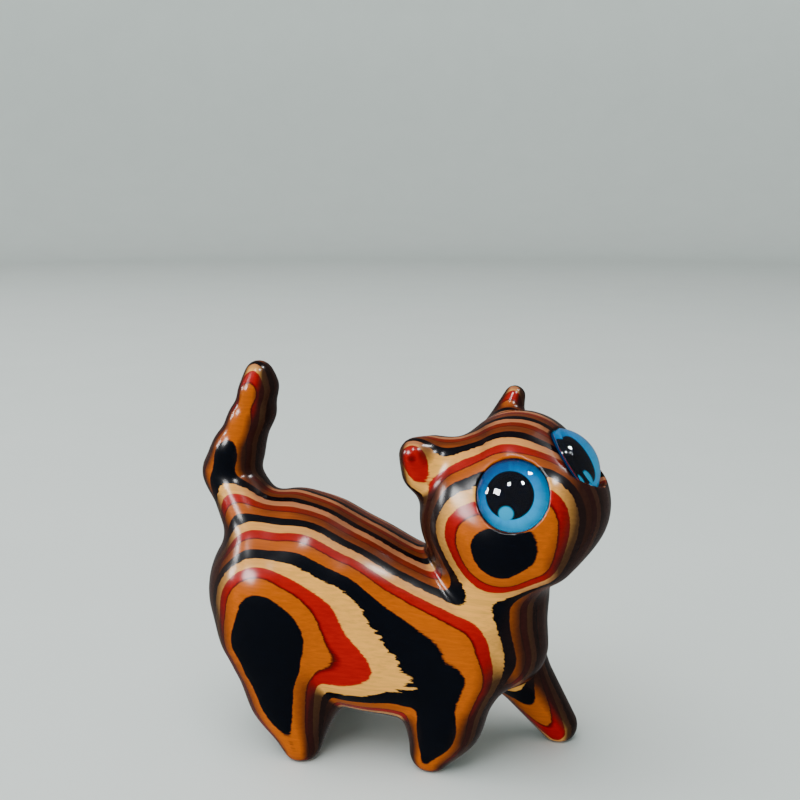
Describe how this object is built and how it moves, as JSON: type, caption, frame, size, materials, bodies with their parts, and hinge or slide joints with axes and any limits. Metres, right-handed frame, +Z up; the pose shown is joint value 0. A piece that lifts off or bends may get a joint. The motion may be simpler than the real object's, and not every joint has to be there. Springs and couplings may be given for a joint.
{
  "type": "laminated-wood cat figurine",
  "caption": "Carved cat in glued layers of dyed veneer, walking on short legs with a raised tail and a turned head, with domed glass eyes; stands on four flat soles.",
  "frame": {"origin": "centre of the figurine's length and width, on the plane of its soles", "axes": "+X is forwards, +Y is the cat's left, +Z is up"},
  "size_m": [0.0472, 0.0194, 0.0434],
  "materials": {
    "black_veneer": "dyed veneer under gloss lacquer",
    "orange_veneer": "dyed veneer under gloss lacquer",
    "red_veneer": "dyed veneer under gloss lacquer",
    "cream_veneer": "pale veneer under gloss lacquer",
    "iris_print": "printed iris disc behind the glass",
    "eye_glass": "clear polished dome"
  },
  "bodies": {
    "root": {"veneer_01_black": "black_veneer", "veneer_02_orange": "orange_veneer", "veneer_03_red": "red_veneer", "veneer_04_cream": "cream_veneer", "veneer_05_black": "black_veneer", "veneer_06_orange": "orange_veneer", "veneer_07_red": "red_veneer", "veneer_08_cream": "cream_veneer", "veneer_09_black": "black_veneer", "veneer_10_orange": "orange_veneer", "veneer_11_red": "red_veneer", "veneer_12_cream": "cream_veneer", "veneer_13_black": "black_veneer", "veneer_14_orange": "orange_veneer", "veneer_15_red": "red_veneer", "veneer_16_cream": "cream_veneer", "veneer_17_black": "black_veneer", "veneer_18_orange": "orange_veneer", "veneer_19_red": "red_veneer", "veneer_20_cream": "cream_veneer", "veneer_21_black": "black_veneer", "veneer_22_orange": "orange_veneer", "veneer_23_red": "red_veneer", "veneer_24_cream": "cream_veneer", "veneer_25_black": "black_veneer", "veneer_26_orange": "orange_veneer", "veneer_27_red": "red_veneer", "veneer_28_cream": "cream_veneer", "veneer_29_black": "black_veneer", "veneer_30_orange": "orange_veneer", "veneer_31_red": "red_veneer", "veneer_32_cream": "cream_veneer", "veneer_33_black": "black_veneer", "right_iris": "iris_print", "right_eye_glass": "eye_glass", "left_iris": "iris_print", "left_eye_glass": "eye_glass"}
  },
  "joints": []
}
